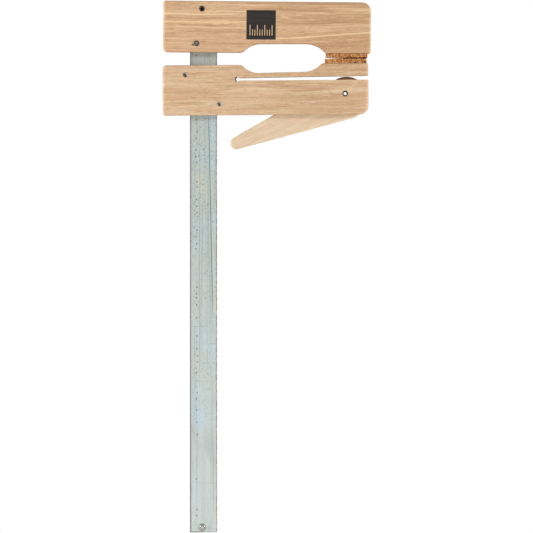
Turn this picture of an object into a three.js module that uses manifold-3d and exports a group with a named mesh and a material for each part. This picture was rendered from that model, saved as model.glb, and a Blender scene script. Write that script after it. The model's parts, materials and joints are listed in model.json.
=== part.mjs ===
// Wooden cam clamp: two hardwood jaws on a flat steel rail, cork pads, roll pins and an eccentric lever.
// Millimetres. +Z runs up the rail, +X from the rail to the jaw tips, Y is the thickness.
// Everything is laid out from the rail's centreline (X) and the rail's lower end (Z). The whole clamp is
// then moved so that the origin is the middle of the fixed jaw's pad face, where the work is gripped.
import * as THREE from 'three';
import { mergeVertices } from 'three/addons/utils/BufferGeometryUtils.js';
import Module from 'manifold-3d';

const wasm = await Module();
wasm.setup();

// ---- driving dimensions ----
const DEGREE = Math.PI / 180;
const GAP = 0.3; // between pieces that touch
const OVERRUN = 5; // how far a cutter runs past the wood
const CURVE_SEGMENTS = 12;
const ROUND_SEGMENTS = 32;

const RAIL = { width: 20, thickness: 5, length: 391.5, corner: 1.2 };
const SLOT_CLEARANCE = { side: 0.35, beyondRail: 0.8, beyondJamPin: 0.2 };
const RAIL_SLOT_WIDTH = RAIL.thickness + 2 * SLOT_CLEARANCE.side;

// Jaw outlines: x from the rail's centreline, z from the jaw's own underside. Corner radii run from the
// lower left corner anticlockwise. The finger window is a shallow recess in both jaws, round at both ends.
const JAW_THICKNESS = 25;
const FIXED_JAW = {
  rear: -29.9,
  front: 123.3,
  height: 38,
  corners: [3.3, 1.2, 6.3, 1],
  recess: { first: { x: 42.8, radius: 17.8, depth: 6.65 }, last: { x: 75.4, radius: 19.5, depth: 7 } },
  undersideZ: 354.45,
  tipDrop: 0.55 * DEGREE,
};
const SLIDING_JAW = {
  rear: -30,
  front: 121.95,
  height: 37,
  corners: [1, 6.3, 0.8, 3],
  recess: { first: { x: 41.6, radius: 16.7, depth: 6.25 }, last: { x: 74.5, radius: 17.2, depth: 6.05 } },
  undersideZ: 308.02,
  tipRise: 0.42 * DEGREE,
};

// The kerf frees a springy tongue from the sliding jaw. It bends about the pin at the kerf's blind end.
const KERF = { floor: 25.5, roof: 27.15, endX: 25.1, endZ: 26.3, tongueSet: 0.66 * DEGREE };
const TONGUE_ROOT_RADIUS = 12;

const PAD = { length: 31, thickness: 2.6, fixedX: 105.7, slidingX: 105.45, slidingThickness: 2.9 };

const PIN_RECESS = 0.5;
const DEEP_PIN_RECESS = 2.5;
const PINS = {
  fixedUpper: { x: -1.4, z: 32.2, radius: 2, wall: 0.75, mouth: 90, recess: DEEP_PIN_RECESS },
  fixedLower: { x: -5.2, z: 6.65, radius: 2, wall: 0.75, mouth: 215, recess: PIN_RECESS },
  jamRear: { x: -13.35, z: 29.85, radius: 1.5, wall: 0.55, mouth: 140, recess: PIN_RECESS },
  jamFront: { x: 11.86, z: 8.2, radius: 1.5, wall: 0.55, mouth: 35, recess: PIN_RECESS },
  kerf: { x: KERF.endX, z: KERF.endZ, radius: 1.75, wall: 0.6, mouth: 0, recess: PIN_RECESS },
  cam: { x: 104.75, z: 15.3, radius: 2, wall: 0.7, mouth: 200, recess: PIN_RECESS },
};
const PIN_MOUTH_WIDTH = 0.9;

// The lever is a large cam circle and a small tip circle joined by their two outer tangents.
const LEVER = { thickness: 9.5, reach: 88.3, droop: 24.1 * DEGREE, tipRadius: 4.5, swing: 90 * DEGREE };
const CAM = { radius: 15.65, eccentricity: 3.33, offsetAngle: 18.2 * DEGREE };
const LEVER_SLOT = { width: 10.3, clearance: 0.45 };

const END_STOP = { x: -0.8, z: 3.7, shankRadius: 1.5, headRadius: 2.3, domeHeight: 1.4 };

// ---- materials ----
const hornbeam = () => new THREE.MeshStandardMaterial({ color: 0xcfa67c, roughness: 0.6, metalness: 0 });
const paleWood = () => new THREE.MeshStandardMaterial({ color: 0xdfc29d, roughness: 0.6, metalness: 0 });
const cork = () => new THREE.MeshStandardMaterial({ color: 0xae7545, roughness: 0.95, metalness: 0 });
const zinc = () => new THREE.MeshStandardMaterial({ color: 0xbcc6c2, roughness: 0.4, metalness: 0.9 });
const springSteel = () => new THREE.MeshStandardMaterial({ color: 0x6e6e6c, roughness: 0.4, metalness: 1 });

// ---- solids ----
function solidOf(geometry) {
  const bare = geometry.clone();
  bare.deleteAttribute('normal');
  bare.deleteAttribute('uv');
  const merged = mergeVertices(bare);
  return new wasm.Manifold(new wasm.Mesh({
    numProp: 3,
    vertProperties: new Float32Array(merged.attributes.position.array),
    triVerts: new Uint32Array(merged.index.array),
  }));
}

function cut(solid, ...cutters) {
  return cutters.reduce((rest, cutter) => rest.subtract(cutter), solid);
}

function namedMesh(name, solid, material) {
  const { vertProperties, triVerts } = solid.getMesh();
  const geometry = new THREE.BufferGeometry();
  geometry.setAttribute('position', new THREE.BufferAttribute(vertProperties, 3));
  geometry.setIndex(new THREE.BufferAttribute(triVerts, 1));
  geometry.computeVertexNormals();
  const mesh = new THREE.Mesh(geometry, material);
  mesh.name = name;
  return mesh;
}

// Turns an outline drawn in X and Z into a plate centred on Y = 0.
function plate(shape, thickness) {
  const geometry = new THREE.ExtrudeGeometry(shape, {
    depth: thickness,
    bevelEnabled: false,
    curveSegments: CURVE_SEGMENTS,
  });
  geometry.rotateX(Math.PI / 2);
  geometry.translate(0, thickness / 2, 0);
  return solidOf(geometry);
}

function crossCylinder(x, z, radius, length) {
  const geometry = new THREE.CylinderGeometry(radius, radius, length, ROUND_SEGMENTS);
  geometry.translate(x, 0, z);
  return solidOf(geometry);
}

function block(left, right, bottom, top, thickness) {
  const geometry = new THREE.BoxGeometry(right - left, thickness, top - bottom);
  geometry.translate((left + right) / 2, 0, (bottom + top) / 2);
  return solidOf(geometry);
}

// ---- outlines ----
// Radii run from the lower left corner anticlockwise: lower left, lower right, upper right, upper left.
function roundedRectangle(left, right, bottom, top, radii) {
  const corners = [
    [left, bottom, 1, 1],
    [right, bottom, -1, 1],
    [right, top, -1, -1],
    [left, top, 1, -1],
  ];
  const shape = new THREE.Shape();
  corners.forEach(([x, z, inwardX, inwardZ], i) => {
    const radius = radii[i];
    const centreX = x + inwardX * radius;
    const centreZ = z + inwardZ * radius;
    const start = Math.PI + i * Math.PI / 2;
    const startX = centreX + radius * Math.cos(start);
    const startZ = centreZ + radius * Math.sin(start);
    if (i === 0) {
      shape.moveTo(startX, startZ);
    } else {
      shape.lineTo(startX, startZ);
    }
    if (radius > 0) {
      shape.absarc(centreX, centreZ, radius, start, start + Math.PI / 2, false);
    }
  });
  shape.closePath();
  return shape;
}

function windowCutter({ first, last }, edgeZ, intoWood) {
  const centreZ = ({ depth, radius }) => edgeZ + intoWood * (depth - radius);
  const shape = new THREE.Shape();
  shape.absarc(first.x, centreZ(first), first.radius, Math.PI / 2, 3 * Math.PI / 2, false);
  shape.absarc(last.x, centreZ(last), last.radius, -Math.PI / 2, Math.PI / 2, false);
  shape.closePath();
  return plate(shape, JAW_THICKNESS + 2 * OVERRUN);
}

// A roll pin's section: a ring with a mouth, so the tube is one closed body.
function rollPinSection({ x, z, radius, wall, mouth }) {
  const bore = radius - wall;
  const middle = mouth * DEGREE;
  const outerHalf = Math.asin(PIN_MOUTH_WIDTH / 2 / radius);
  const innerHalf = Math.asin(PIN_MOUTH_WIDTH / 2 / bore);
  const shape = new THREE.Shape();
  shape.absarc(x, z, radius, middle + outerHalf, middle - outerHalf + 2 * Math.PI, false);
  shape.absarc(x, z, bore, middle - innerHalf + 2 * Math.PI, middle + innerHalf, true);
  shape.closePath();
  return shape;
}

function rollPin(name, pin) {
  const solid = plate(rollPinSection(pin), JAW_THICKNESS - 2 * pin.recess);
  return namedMesh(name, solid, springSteel());
}

const pinHole = (pin) => crossCylinder(pin.x, pin.z, pin.radius + GAP, JAW_THICKNESS + 2 * OVERRUN);

// ---- lever geometry, in the sliding jaw's frame ----
const camCentre = new THREE.Vector2(
  PINS.cam.x + CAM.eccentricity * Math.sin(CAM.offsetAngle),
  PINS.cam.z - CAM.eccentricity * Math.cos(CAM.offsetAngle),
);
const tipCentre = new THREE.Vector2(
  PINS.cam.x - LEVER.reach * Math.cos(LEVER.droop),
  PINS.cam.z - LEVER.reach * Math.sin(LEVER.droop),
);
const leverLine = tipCentre.clone().sub(camCentre);
const leverAngle = Math.atan2(leverLine.y, leverLine.x);
const tangentSpread = Math.acos((CAM.radius - LEVER.tipRadius) / leverLine.length());
const upperNormal = leverAngle - tangentSpread;
const lowerNormal = leverAngle + tangentSpread;

function leverOutline() {
  const shape = new THREE.Shape();
  shape.absarc(camCentre.x, camCentre.y, CAM.radius, lowerNormal, upperNormal + 2 * Math.PI, false);
  shape.absarc(tipCentre.x, tipCentre.y, LEVER.tipRadius, upperNormal, lowerNormal, false);
  shape.closePath();
  return shape;
}

// The slot's rear wall is a ramp along the lever's upper edge: the lever folds up against it.
function leverSlot() {
  const onRamp = (centre, radius) => new THREE.Vector2(Math.cos(upperNormal), Math.sin(upperNormal))
    .multiplyScalar(radius + LEVER_SLOT.clearance)
    .add(centre);
  const high = onRamp(camCentre, CAM.radius);
  const low = onRamp(tipCentre, LEVER.tipRadius);
  const rampX = (z) => low.x + (high.x - low.x) * (z - low.y) / (high.y - low.y);
  const top = KERF.roof;
  const bottom = -OVERRUN;
  const front = SLIDING_JAW.front + OVERRUN;
  const shape = new THREE.Shape([
    new THREE.Vector2(rampX(bottom), bottom),
    new THREE.Vector2(front, bottom),
    new THREE.Vector2(front, top),
    new THREE.Vector2(rampX(top), top),
  ]);
  return plate(shape, LEVER_SLOT.width);
}

// At the end of its swing the cam bulges past the ramp's upper end, so the slot is relieved there.
function camRelief() {
  const centre = camCentre.clone().rotateAround(new THREE.Vector2(PINS.cam.x, PINS.cam.z), LEVER.swing);
  return crossCylinder(centre.x, centre.y, CAM.radius + LEVER_SLOT.clearance, LEVER_SLOT.width);
}

// ---- frames of the two jaws on the rail ----
const fixedFrame = new THREE.Group();
fixedFrame.position.z = FIXED_JAW.undersideZ;
fixedFrame.rotation.y = FIXED_JAW.tipDrop;
fixedFrame.updateMatrix();

const slidingFrame = new THREE.Group();
slidingFrame.position.z = SLIDING_JAW.undersideZ;
slidingFrame.rotation.y = -SLIDING_JAW.tipRise;

// The tongue keeps the jaw's coordinates and is turned about the kerf's end by its own set.
const tongueFrame = new THREE.Group();
tongueFrame.position.set(KERF.endX, 0, KERF.endZ);
tongueFrame.rotation.y = -KERF.tongueSet;
const tongueLayout = new THREE.Group();
tongueLayout.position.set(-KERF.endX, 0, -KERF.endZ);
tongueFrame.add(tongueLayout);
slidingFrame.add(tongueFrame);

// ---- rail and end stop ----
function makeRail() {
  const half = RAIL.width / 2;
  const bar = plate(roundedRectangle(-half, half, 0, RAIL.length, [0, RAIL.corner, 0, 0]), RAIL.thickness);
  const drillLength = RAIL.thickness + 2 * OVERRUN;
  const pinHoles = [PINS.fixedUpper, PINS.fixedLower].map((pin) => {
    const onRail = new THREE.Vector3(pin.x, 0, pin.z).applyMatrix4(fixedFrame.matrix);
    return crossCylinder(onRail.x, onRail.z, pin.radius + GAP, drillLength);
  });
  const stopHole = crossCylinder(END_STOP.x, END_STOP.z, END_STOP.shankRadius + GAP, drillLength);
  return namedMesh('rail', cut(bar, ...pinHoles, stopHole), zinc());
}

function makeEndStop() {
  const { x, z, shankRadius, headRadius, domeHeight } = END_STOP;
  const seat = RAIL.thickness / 2 + GAP / 2;
  const domeRadius = (headRadius ** 2 + domeHeight ** 2) / (2 * domeHeight);
  const domeSpan = Math.asin(headRadius / domeRadius);
  const domeSteps = 6;
  const dome = Array.from({ length: domeSteps + 1 }, (_, i) => {
    const angle = domeSpan * i / domeSteps;
    const height = seat + domeHeight - domeRadius * (1 - Math.cos(angle));
    return new THREE.Vector2(domeRadius * Math.sin(angle), height);
  });
  const half = [...dome, new THREE.Vector2(shankRadius, seat)];
  const otherHalf = half.map((point) => new THREE.Vector2(point.x, -point.y)).reverse();
  const profile = [...half, ...otherHalf].reverse();
  profile[0].x = 0;
  profile[profile.length - 1].x = 0;
  const geometry = new THREE.LatheGeometry(profile, ROUND_SEGMENTS);
  geometry.translate(x, 0, z);
  return namedMesh('end_stop', solidOf(geometry), zinc());
}

// ---- fixed jaw ----
function makeFixedJaw() {
  const { rear, front, height, corners, recess } = FIXED_JAW;
  const wood = plate(roundedRectangle(rear, front, 0, height, corners), JAW_THICKNESS);
  const slotFront = RAIL.width / 2 + SLOT_CLEARANCE.beyondRail;
  const railSlot = block(rear - OVERRUN, slotFront, -OVERRUN, height + OVERRUN, RAIL_SLOT_WIDTH);
  const solid = cut(
    wood,
    windowCutter(recess, 0, 1),
    railSlot,
    pinHole(PINS.fixedUpper),
    pinHole(PINS.fixedLower),
  );
  return namedMesh('fixed_jaw', solid, hornbeam());
}

function makePad(name, centreX, bottom, thickness) {
  const left = centreX - PAD.length / 2;
  const right = centreX + PAD.length / 2;
  return namedMesh(name, block(left, right, bottom, bottom + thickness, JAW_THICKNESS), cork());
}

// ---- sliding jaw and its tongue, cut from one outline ----
function slidingJawBlank() {
  const { rear, front, height, corners, recess } = SLIDING_JAW;
  const wood = plate(roundedRectangle(rear, front, 0, height, corners), JAW_THICKNESS);
  return cut(wood, windowCutter(recess, height, -1));
}

// Everything above a height and in front of the kerf's end, outside a circle about that end.
function tongueRegion(fromZ, rootRadius) {
  const { front, height } = SLIDING_JAW;
  const region = block(KERF.endX, front + OVERRUN, fromZ, height + OVERRUN, JAW_THICKNESS + 2 * OVERRUN);
  return cut(region, crossCylinder(KERF.endX, KERF.endZ, rootRadius, JAW_THICKNESS + 4 * OVERRUN));
}

function makeSlidingJaw() {
  const { rear, front, height } = SLIDING_JAW;
  const overWide = JAW_THICKNESS + 2 * OVERRUN;
  const slotFront = PINS.jamFront.x + SLOT_CLEARANCE.beyondJamPin;
  const railSlot = block(rear - OVERRUN, slotFront, -OVERRUN, height + OVERRUN, RAIL_SLOT_WIDTH);
  const solid = cut(
    slidingJawBlank(),
    tongueRegion(KERF.floor, TONGUE_ROOT_RADIUS - GAP / 2),
    block(KERF.endX, front + OVERRUN, KERF.floor, KERF.roof, overWide),
    railSlot,
    leverSlot(),
    camRelief(),
    pinHole(PINS.jamRear),
    pinHole(PINS.jamFront),
    pinHole(PINS.kerf),
    pinHole(PINS.cam),
  );
  return namedMesh('sliding_jaw', solid, hornbeam());
}

function makeSpringTongue() {
  const solid = slidingJawBlank().intersect(tongueRegion(KERF.roof, TONGUE_ROOT_RADIUS + GAP / 2));
  return namedMesh('spring_tongue', solid, hornbeam());
}

function makeCamLever() {
  const solid = cut(plate(leverOutline(), LEVER.thickness), pinHole(PINS.cam));
  return namedMesh('cam_lever', solid, paleWood());
}

// ---- assembly ----
fixedFrame.add(
  makeFixedJaw(),
  makePad('fixed_jaw_pad', PAD.fixedX, -GAP - PAD.thickness, PAD.thickness),
  rollPin('fixed_jaw_pin_upper', PINS.fixedUpper),
  rollPin('fixed_jaw_pin_lower', PINS.fixedLower),
);
tongueLayout.add(
  makeSpringTongue(),
  makePad('sliding_jaw_pad', PAD.slidingX, SLIDING_JAW.height + GAP, PAD.slidingThickness),
);
slidingFrame.add(
  makeSlidingJaw(),
  rollPin('jam_pin_rear', PINS.jamRear),
  rollPin('jam_pin_front', PINS.jamFront),
  rollPin('kerf_pin', PINS.kerf),
  rollPin('cam_pin', PINS.cam),
  makeCamLever(),
);

const padFaceCentre = new THREE.Vector3(PAD.fixedX, 0, -GAP - PAD.thickness).applyMatrix4(fixedFrame.matrix);
const clamp = new THREE.Group();
clamp.add(makeRail(), makeEndStop(), fixedFrame, slidingFrame);
clamp.position.copy(padFaceCentre).negate();

export default clamp;
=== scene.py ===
import json
import math

import bmesh
import bpy
from mathutils import Matrix, Vector, noise


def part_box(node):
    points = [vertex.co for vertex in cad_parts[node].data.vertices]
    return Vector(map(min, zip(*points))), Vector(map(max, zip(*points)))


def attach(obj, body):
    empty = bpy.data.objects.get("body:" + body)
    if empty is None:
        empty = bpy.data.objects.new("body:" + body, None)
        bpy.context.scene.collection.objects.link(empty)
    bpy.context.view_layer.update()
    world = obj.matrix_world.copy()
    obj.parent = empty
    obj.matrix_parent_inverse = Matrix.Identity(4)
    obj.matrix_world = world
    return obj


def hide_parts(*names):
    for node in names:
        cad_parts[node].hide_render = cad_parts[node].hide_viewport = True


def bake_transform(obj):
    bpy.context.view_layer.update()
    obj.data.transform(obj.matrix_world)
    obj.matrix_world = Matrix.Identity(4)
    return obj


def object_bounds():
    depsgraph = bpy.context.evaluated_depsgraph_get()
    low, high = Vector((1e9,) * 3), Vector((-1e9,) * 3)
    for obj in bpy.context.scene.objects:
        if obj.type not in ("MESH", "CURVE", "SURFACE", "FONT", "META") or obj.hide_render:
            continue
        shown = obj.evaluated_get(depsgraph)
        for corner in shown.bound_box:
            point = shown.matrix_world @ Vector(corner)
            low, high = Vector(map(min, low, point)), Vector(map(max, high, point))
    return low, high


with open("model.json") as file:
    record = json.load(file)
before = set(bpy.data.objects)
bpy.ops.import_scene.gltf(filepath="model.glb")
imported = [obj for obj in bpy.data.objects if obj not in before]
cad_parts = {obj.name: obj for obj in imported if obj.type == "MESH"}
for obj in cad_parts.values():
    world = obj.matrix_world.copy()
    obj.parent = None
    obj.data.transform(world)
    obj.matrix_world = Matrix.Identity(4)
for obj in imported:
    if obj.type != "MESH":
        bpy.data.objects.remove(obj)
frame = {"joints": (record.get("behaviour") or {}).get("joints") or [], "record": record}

CAD_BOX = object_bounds()

# ---------------------------------------------------------------- sizes, in metres
MM = 0.001
JAW_THICKNESS = 25 * MM
WOOD_THICKNESS = JAW_THICKNESS - 0.04 * MM
EDGE_ROUND = 1.8 * MM
REAR_EASE = 1.15  # how much wider the ends are rounded than the long edges
WINDOW_EASE = 0.3  # the window's edges are only eased, to this share of the outer round
# Corner radii run anticlockwise from the lower left. The finger window's two round ends in each jaw are
# given as x, radius, depth and corner fillet. Both are in mm.
FIXED_JAW = {
    "rear": -29.9 * MM, "front": 123.3 * MM, "height": 38 * MM, "front_ease": 1.0,
    "corners": (3.3, 1.8, 6.3, 1.7), "slot_front": 10.8 * MM,
    "window": ((42.8, 17.8, 6.65, 5.5), (75.4, 19.5, 7.0, 2.0)),
}
SLIDING_JAW = {
    "rear": -30 * MM, "front": 121.95 * MM, "height": 37 * MM, "front_ease": 1.6,
    "corners": (1.7, 6.3, 1.7, 3.0), "slot_front": 12.06 * MM,
    "window": ((41.6, 16.7, 6.25, 2.2), (74.5, 17.2, 6.05, 2.2)),
}
RAIL_SLOT_WIDTH = 5.7 * MM
RAIL_CORNERS = (0.3, 1.2, 0.3, 0.3)  # in mm, in the same order
RAIL_HOLE_RADIUS = {"pin": 2.1 * MM, "stud": 1.8 * MM}
KERF = {"floor": 25.42 * MM, "roof": 27.28 * MM, "end": 25.1 * MM, "height": 26.3 * MM}
PIN_HOLE_EASE = 0.1  # in mm
CORE_GAP = 0.05  # in mm
# A coiled pin's strip, the gap between its turns, how many it has, and its core; core_inset is in mm.
COIL = {"strip": 0.34 * MM, "clear": 0.11 * MM, "turns": 2.6, "core_inset": 0.3, "core_shorter": 1.4 * MM}
TONGUE_SEAM = 26.6 * MM
TONGUE_BEND_END = 47 * MM
TONGUE_SET = math.radians(0.66)
LEVER = {"thickness": 9.5 * MM, "reach": 88.3 * MM, "droop": math.radians(24.1), "tip": 4.5 * MM,
         "swing": math.radians(90), "hole": 2.2 * MM, "edge": 1.2 * MM}
CAM = {"radius": 15.65 * MM, "eccentricity": 3.33 * MM, "angle": math.radians(18.2)}
LEVER_SLOT = {"width": 10.3 * MM, "clearance": 0.45 * MM}
PAD_LENGTH = 31 * MM
PAD_FACE_DROP = 2.9 * MM
FIXED_PAD_X = 105.7 * MM
SLIDING_PAD_X = 105.45 * MM
SLIDING_PAD_HEIGHT = 3.2 * MM
PAD_CROWN = 0.25 * MM
PAD_SIDE_GAP = 0.3 * MM
# Each pin's place in its jaw, radius, recess, wall and core's depth in mm. Its mouth's middle and half
# width, or its coil's start, are in degrees.
PINS = {
    "fixed_jaw_pin_upper": {
        "at": (-1.4, 32.2), "radius": 2, "recess": 2.0, "wall": 1.0, "mouth": (250, 3), "core": 7,
    },
    "fixed_jaw_pin_lower": {
        "at": (-5.2, 6.65), "radius": 2, "recess": 0.5, "wall": 0.6, "mouth": (215, 3), "core": 0.4,
    },
    "jam_pin_rear": {"at": (-13.35, 29.85), "radius": 1.5, "recess": 0.7, "coil": 150},
    "jam_pin_front": {"at": (11.86, 8.2), "radius": 1.5, "recess": 0.7, "coil": 135},
    "kerf_pin": {"at": (25.1, 26.3), "radius": 1.75, "recess": 0.5, "wall": 0.7, "mouth": (-4, 95)},
    "cam_pin": {"at": (104.75, 15.3), "radius": 2, "recess": 0.5, "wall": 0.85, "mouth": (200, 4)},
}
SLIDING_PINS = ("jam_pin_rear", "jam_pin_front", "kerf_pin", "cam_pin")
FIXED_PINS = ("fixed_jaw_pin_upper", "fixed_jaw_pin_lower")
OVERRUN = 6 * MM  # how far a cutter stands past the wood
ARC_STEPS = 16
FULL_TURN = 2 * math.pi

# ---------------------------------------------------------------- places, from the frame
mounts = {m["name"]: m for m in frame["record"]["mounts"]}
joints = {j["name"]: j for j in frame["joints"]}
rail_low, rail_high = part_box("rail")
RAIL_X = (rail_low.x + rail_high.x) / 2


class Layout:
    """A jaw's own frame: x along the jaw from the rail's centreline, z up from its underside."""

    def __init__(self, anchor, local, rise):
        self.rise = rise
        cos, sin = math.cos(rise), math.sin(rise)
        self.origin = Vector((anchor.x - (local[0] * cos - local[1] * sin), 0,
                              anchor.z - (local[0] * sin + local[1] * cos)))

    def matrix(self):
        return Matrix.Translation(self.origin) @ Matrix.Rotation(-self.rise, 4, "Y")


def pin_place(name):
    return tuple(v * MM for v in PINS[name]["at"])


fixed_normal = Vector(mounts["fixed_pad_face"]["axis"])
fixed_rise = -math.atan2(-fixed_normal.x, -fixed_normal.z)
fixed_layout = Layout(Vector(mounts["fixed_pad_face"]["pos_m"]), (FIXED_PAD_X, -PAD_FACE_DROP), fixed_rise)

kerf_end = Vector(joints["tongue_flex"]["pos_m"])
cam_axis = Vector(joints["lever_swing"]["pos_m"])
kerf_local = Vector(pin_place("kerf_pin"))
cam_local = Vector(pin_place("cam_pin"))
along = cam_axis - kerf_end
local_along = cam_local - kerf_local
sliding_rise = math.atan2(along.z, along.x) - math.atan2(local_along.y, local_along.x)
sliding_layout = Layout(kerf_end, kerf_local, sliding_rise)


# ---------------------------------------------------------------- outlines
def arc(centre, radius, start, end, steps=ARC_STEPS):
    angles = [start + (end - start) * i / steps for i in range(steps + 1)]
    return [(centre[0] + radius * math.cos(a), centre[1] + radius * math.sin(a)) for a in angles]


def circle(centre, radius, steps):
    return arc(centre, radius, 0, FULL_TURN, steps)[:-1]


def corner(x, z, inward, radius, inset, start, ease=1.0):
    """A quarter round of a rectangle's corner, moved inwards by inset, and by ease times that along x."""
    left = max(radius - inset * max(1.0, ease), 0.05 * MM)
    centre = (x + inward[0] * (inset * ease + left), z + inward[1] * (inset + left))
    return arc(centre, left, start, start + math.pi / 2, 8)


def window_end(end, side, eased):
    """One end of the finger window from the jaw's edge to its deepest line; side is -1 on the left."""
    x, radius, depth, fillet = (v * MM for v in end)
    centre_z = depth - radius
    reach = math.sqrt((radius + fillet) ** 2 - (fillet - centre_z) ** 2)
    tilt = math.atan2(fillet - centre_z, reach)
    points = arc((-reach, fillet), fillet - eased, -math.pi / 2, -tilt, 8)
    points += arc((0, centre_z), radius + eased, math.pi - tilt, math.pi / 2)
    return [(x - side * px, z) for px, z in points]


def window_edge(window, inset):
    """The finger window's edge from left to right, for a jaw whose underside is at z = 0."""
    eased = inset * WINDOW_EASE
    return window_end(window[0], -1, eased) + window_end(window[1], 1, eased)[::-1]


def jaw_outline(jaw, window_up):
    """An outline function of inset. It is drawn with the window below, then turned over if window_up."""
    rear, front, height, front_ease = jaw["rear"], jaw["front"], jaw["height"], jaw["front_ease"]
    radii = [radius * MM for radius in jaw["corners"]]
    if window_up:
        radii.reverse()

    def outline(inset):
        points = corner(rear, 0, (1, 1), radii[0], inset, math.pi, REAR_EASE)
        points += window_edge(jaw["window"], inset)
        points += corner(front, 0, (-1, 1), radii[1], inset, 1.5 * math.pi, front_ease)
        points += corner(front, height, (-1, -1), radii[2], inset, 0, front_ease)
        points += corner(rear, height, (1, -1), radii[3], inset, 0.5 * math.pi, REAR_EASE)
        if window_up:
            points = [(x, height - z) for x, z in reversed(points)]
        return points

    return outline


def turned(point, angle):
    """A point turned about the cam pin, clockwise as seen from the front."""
    x, z = point[0] - cam_local.x, point[1] - cam_local.y
    return (cam_local.x + x * math.cos(angle) + z * math.sin(angle),
            cam_local.y - x * math.sin(angle) + z * math.cos(angle))


def lever_outline(inset):
    cam_centre, tip_centre, high, low = lever_geometry()
    points = arc(cam_centre, CAM["radius"] - inset, low, high + 2 * math.pi, 56)
    points += arc(tip_centre, LEVER["tip"] - inset, high, low, 24)
    return points


def lever_geometry():
    cam_centre = (cam_local.x + CAM["eccentricity"] * math.sin(CAM["angle"]),
                  cam_local.y - CAM["eccentricity"] * math.cos(CAM["angle"]))
    tip_centre = (cam_local.x - LEVER["reach"] * math.cos(LEVER["droop"]),
                  cam_local.y - LEVER["reach"] * math.sin(LEVER["droop"]))
    run, fall = tip_centre[0] - cam_centre[0], tip_centre[1] - cam_centre[1]
    angle = math.atan2(fall, run)
    spread = math.acos((CAM["radius"] - LEVER["tip"]) / math.hypot(run, fall))
    return cam_centre, tip_centre, angle - spread, angle + spread


def rolled_outline(pin):
    """A roll pin's section: a ring with a mouth."""
    radius, bore = pin["radius"] * MM, (pin["radius"] - pin["wall"]) * MM
    middle, half_mouth = (math.radians(v) for v in pin["mouth"])

    def outline(inset):
        outer, inner = radius - inset, bore + inset
        outer_half, inner_half = half_mouth + inset / outer, half_mouth + inset / inner
        points = arc((0, 0), outer, middle + outer_half, middle - outer_half + 2 * math.pi, 40)
        points += arc((0, 0), inner, middle - inner_half + 2 * math.pi, middle + inner_half, 28)
        return points

    return outline


def coiled_outline(pin):
    """A coiled pin's section: a strip rolled up on itself."""
    radius, strip = pin["radius"] * MM, COIL["strip"]
    start = math.radians(pin["coil"])
    steps = 90

    def outline(inset):
        def spiral(depth):
            points = []
            for i in range(steps + 1):
                wound = COIL["turns"] * FULL_TURN * i / steps
                r = radius - depth - (strip + COIL["clear"]) * wound / FULL_TURN
                points.append((r * math.cos(start + wound), r * math.sin(start + wound)))
            return points

        return spiral(inset) + spiral(strip - inset)[::-1]

    return outline


# ---------------------------------------------------------------- meshes
def mesh_object(name, bm):
    bmesh.ops.recalc_face_normals(bm, faces=bm.faces)
    mesh = bpy.data.meshes.new(name)
    bm.to_mesh(mesh)
    bm.free()
    obj = bpy.data.objects.new(name, mesh)
    bpy.context.scene.collection.objects.link(obj)
    return obj


def round_plate(name, outline, thickness, edge, steps=6):
    """A plate across Y. Its two rims are quarter rounds of radius edge, in triangles, which cut cleanly."""
    bm = bmesh.new()
    stations = []
    for side in (-1, 1):
        for i in range(steps + 1):
            angle = math.pi / 2 * i / steps
            inset = edge * (1 - math.sin(angle))
            y = side * (thickness / 2 - edge * (1 - math.cos(angle)))
            stations.append((y, inset))
    front, back = stations[:steps + 1], stations[steps + 1:]
    loops = [[bm.verts.new((x, y, z)) for x, z in outline(inset)] for y, inset in front + back[::-1]]
    for a, b in zip(loops, loops[1:]):
        for i in range(len(a)):
            j = (i + 1) % len(a)
            bm.faces.new((a[i], a[j], b[j]))
            bm.faces.new((a[i], b[j], b[i]))
    bm.faces.new(loops[0])
    bm.faces.new(loops[-1])
    bmesh.ops.remove_doubles(bm, verts=bm.verts, dist=0.004 * MM)
    return mesh_object(name, bm)


def prism(points, thickness):
    """A cutter: an outline in X and Z, extruded across Y."""
    bm = bmesh.new()
    near = [bm.verts.new((x, -thickness / 2, z)) for x, z in points]
    far = [bm.verts.new((x, thickness / 2, z)) for x, z in points]
    bm.faces.new(near)
    bm.faces.new(far[::-1])
    for i in range(len(points)):
        j = (i + 1) % len(points)
        bm.faces.new((near[i], far[i], far[j], near[j]))
    return mesh_object("cutter", bm)


def hole_cutter(at, radius, thickness, rim=0.12 * MM):
    """A round hole across Y with a slightly eased rim on both faces."""
    half = thickness / 2
    profile = [(half + 2 * MM, radius + rim), (half, radius + rim), (half - rim, radius)]
    profile += [(-y, r) for y, r in reversed(profile)]
    bm = bmesh.new()
    rings = []
    for y, r in profile:
        rings.append([bm.verts.new((x, y, z)) for x, z in circle(at, r, 40)])
    for a, b in zip(rings, rings[1:]):
        for i in range(len(a)):
            j = (i + 1) % len(a)
            bm.faces.new((a[i], a[j], b[j], b[i]))
    bm.faces.new(rings[0])
    bm.faces.new(rings[-1])
    return mesh_object("cutter", bm)


def rectangle(left, right, bottom, top):
    return [(left, bottom), (right, bottom), (right, top), (left, top)]


def cut(obj, *cutters, operation="DIFFERENCE"):
    for cutter in cutters:
        modifier = obj.modifiers.new("cut", "BOOLEAN")
        modifier.operation = operation
        modifier.solver = "EXACT"
        modifier.object = cutter
        made = bpy.data.meshes.new_from_object(obj.evaluated_get(bpy.context.evaluated_depsgraph_get()))
        obj.modifiers.clear()
        obj.data = made
        bpy.data.objects.remove(cutter)
    return obj


def remember(obj, name, along=lambda co: (co.x, co.z)):
    """Keeps each point's place in the uncut board, so that the grain follows the wood in every pose."""
    attribute = obj.data.attributes.new(name, "FLOAT_VECTOR", "POINT")
    for vertex, kept in zip(obj.data.vertices, attribute.data):
        x, z = along(vertex.co)
        kept.vector = (x, vertex.co.y, z)


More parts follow.
